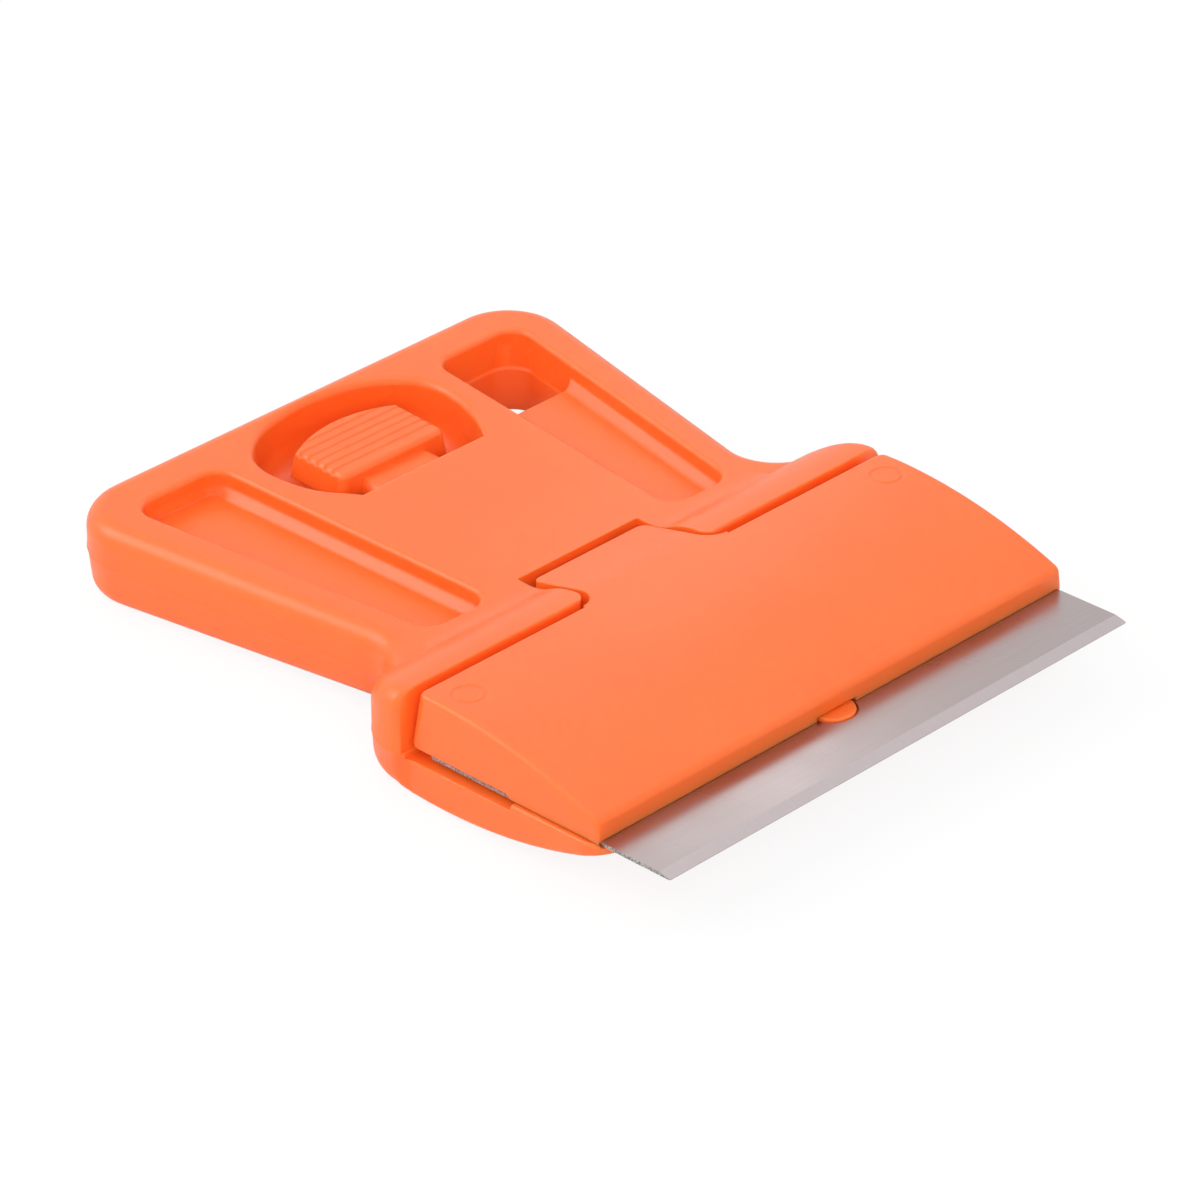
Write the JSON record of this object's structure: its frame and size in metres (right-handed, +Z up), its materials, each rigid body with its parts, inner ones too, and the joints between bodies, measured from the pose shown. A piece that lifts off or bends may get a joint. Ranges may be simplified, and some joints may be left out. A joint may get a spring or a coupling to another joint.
{
  "type": "hand scraper",
  "caption": "Small moulded hand scraper: a wide flat handle with a finger well and a hanging hole, and a convex sliding cover that clamps a thin straight steel blade.",
  "frame": {"origin": "middle of the overall length and width, on the plane the scraper rests on", "axes": "+X along the cutting edge, towards the side with the hanging hole; +Y from the cutting edge back towards the handle's end; +Z up, out of the cover and the finger well"},
  "size_m": [0.0428, 0.0554, 0.0079],
  "materials": {
    "body_plastic": "satin orange moulded plastic",
    "cover_plastic": "satin orange moulded plastic",
    "latch_plastic": "satin orange moulded plastic",
    "blade_steel": "rolled steel strip with a ground edge"
  },
  "bodies": {
    "body": {"handle_body": "body_plastic", "blade": "blade_steel"},
    "cover": {"clamp_cover": "cover_plastic"},
    "latch": {"thumb_latch": "latch_plastic"}
  },
  "joints": [
    {"name": "cover_slide", "type": "slide", "parent": "body", "child": "cover", "axis": [0, -0.9982, 0.0598], "range_m": [0, 0.0026]},
    {"name": "thumb_latch_press", "type": "hinge", "parent": "cover", "child": "latch", "pos_m": [0, 0.0021, 0.00458], "axis": [-1, 0, 0], "range_deg": [0, 4], "stiffness_Nm_per_rad": 0.3}
  ]
}
